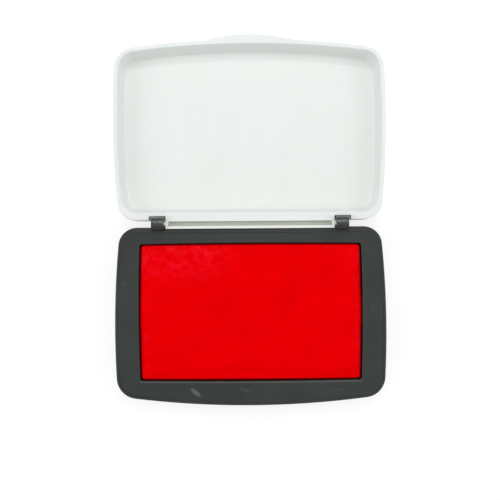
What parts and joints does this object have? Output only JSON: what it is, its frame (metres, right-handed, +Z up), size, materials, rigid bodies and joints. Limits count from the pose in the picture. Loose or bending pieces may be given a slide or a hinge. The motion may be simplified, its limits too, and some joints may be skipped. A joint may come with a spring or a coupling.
{
  "type": "ink pad",
  "caption": "Hinged ink pad: a dark moulded case with a framed cloth pad soaked in red ink, and a white shell lid that opens out flat beside it.",
  "frame": {"origin": "on the base's flat underside, below the middle of the base's footprint", "axes": "+X to the right along the hinge, +Y from the base's front edge to the hinge and on into the opened lid, +Z up"},
  "size_m": [0.1102, 0.1497, 0.0124],
  "materials": {
    "dark_plastic": "dark grey moulded plastic, satin, with a fine mould texture",
    "frame_plastic": "dark grey moulded plastic, satin, with light scuffs",
    "tray_plastic": "smooth dark moulded plastic",
    "ink_felt": "pressed felt soaked in red ink",
    "ink_foam": "open-cell foam soaked in red ink",
    "ink_cloth": "fine plain-woven cloth, wet with red ink",
    "label_film": "blank pale film label",
    "white_plastic": "cool white moulded plastic, semi-gloss"
  },
  "bodies": {
    "base": {"base_case": "dark_plastic", "pad_frame": "frame_plastic", "ink_tray": "tray_plastic", "felt_core": "ink_felt", "foam_layer": "ink_foam", "pad_cloth": "ink_cloth", "base_label": "label_film"},
    "lid": {"lid_shell": "white_plastic"}
  },
  "joints": [
    {"name": "lid_hinge", "type": "hinge", "parent": "base", "child": "lid", "pos_m": [0, 0.0374, 0.0095], "axis": [1, 0, 0], "range_deg": [0, 180]}
  ]
}
